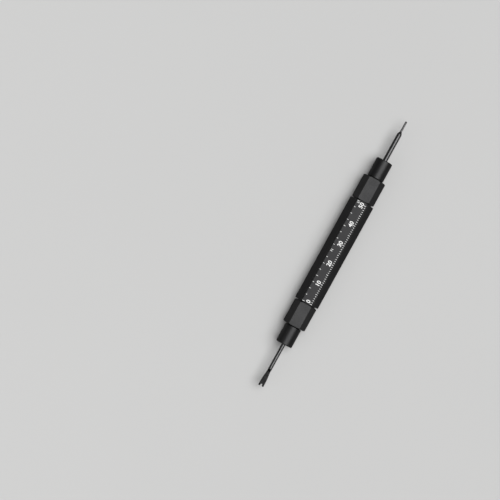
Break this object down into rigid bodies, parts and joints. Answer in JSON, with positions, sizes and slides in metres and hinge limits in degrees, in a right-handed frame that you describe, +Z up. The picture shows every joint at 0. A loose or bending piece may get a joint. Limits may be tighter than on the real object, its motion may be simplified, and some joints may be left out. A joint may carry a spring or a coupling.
{
  "type": "spring bar tool",
  "caption": "Slim hexagonal hand tool with a push pin at one end and a forked blade at the other, each held in a screw-down collar, for removing watch spring bars.",
  "frame": {"origin": "middle of the tool's whole length, on the surface it lies on, under the handle's axis", "axes": "+X along the tool towards the pin end, +Y across it, +Z up from the flat that the barrel lies on"},
  "size_m": [0.1352, 0.0116, 0.0103],
  "materials": {
    "barrel": "matte black anodised",
    "sleeve": "matte black anodised",
    "collar": "matte black anodised, turned",
    "ring": "matte",
    "tip": "blackened",
    "collet": "turned",
    "screw": "black oxide"
  },
  "bodies": {
    "barrel": {"barrel": "barrel"},
    "pin_ring": {"pin_seam_ring": "ring"},
    "pin_sleeve": {"pin_sleeve": "sleeve", "pin_stop_screw": "screw"},
    "pin_collet": {"pin_collet": "collet"},
    "pin_collar": {"pin_collar": "collar"},
    "pin_tip": {"pin_tip": "tip"},
    "fork_ring": {"fork_seam_ring": "ring"},
    "fork_sleeve": {"fork_sleeve": "sleeve", "fork_stop_screw": "screw"},
    "fork_collet": {"fork_collet": "collet"},
    "fork_collar": {"fork_collar": "collar"},
    "fork_tip": {"fork_tip": "tip"}
  },
  "joints": [
    {"name": "pin_sleeve_turn", "type": "hinge", "parent": "pin_ring", "child": "pin_sleeve", "pos_m": [0.0006, 0, 0.00515], "axis": [1, 0, 0], "range_deg": [0, 2162]},
    {"name": "pin_sleeve_thread", "type": "slide", "parent": "barrel", "child": "pin_ring", "axis": [1, 0, 0], "range_m": [0, 0.0045]},
    {"name": "pin_collar_turn", "type": "hinge", "parent": "pin_collet", "child": "pin_collar", "pos_m": [0.0006, 0, 0.00515], "axis": [1, 0, 0], "range_deg": [0, 1082]},
    {"name": "pin_collar_thread", "type": "slide", "parent": "pin_sleeve", "child": "pin_collet", "axis": [1, 0, 0], "range_m": [0, 0.0015]},
    {"name": "pin_tip_pull", "type": "slide", "parent": "pin_sleeve", "child": "pin_tip", "axis": [1, 0, 0], "range_m": [0, 0.014]},
    {"name": "fork_sleeve_turn", "type": "hinge", "parent": "fork_ring", "child": "fork_sleeve", "pos_m": [0.0006, 0, 0.00515], "axis": [-1, 0, 0], "range_deg": [0, 2162]},
    {"name": "fork_sleeve_thread", "type": "slide", "parent": "barrel", "child": "fork_ring", "axis": [-1, 0, 0], "range_m": [0, 0.0045]},
    {"name": "fork_collar_turn", "type": "hinge", "parent": "fork_collet", "child": "fork_collar", "pos_m": [0.0006, 0, 0.00515], "axis": [-1, 0, 0], "range_deg": [0, 1082]},
    {"name": "fork_collar_thread", "type": "slide", "parent": "fork_sleeve", "child": "fork_collet", "axis": [-1, 0, 0], "range_m": [0, 0.0015]},
    {"name": "fork_tip_pull", "type": "slide", "parent": "fork_sleeve", "child": "fork_tip", "axis": [-1, 0, 0], "range_m": [0, 0.014]}
  ],
  "couplings": [
    {"joint": "pin_sleeve_turn", "follows": "pin_sleeve_thread", "rad_per_m": 8377.6},
    {"joint": "pin_collar_turn", "follows": "pin_collar_thread", "rad_per_m": 12566},
    {"joint": "fork_sleeve_turn", "follows": "fork_sleeve_thread", "rad_per_m": 8377.6},
    {"joint": "fork_collar_turn", "follows": "fork_collar_thread", "rad_per_m": 12566}
  ]
}
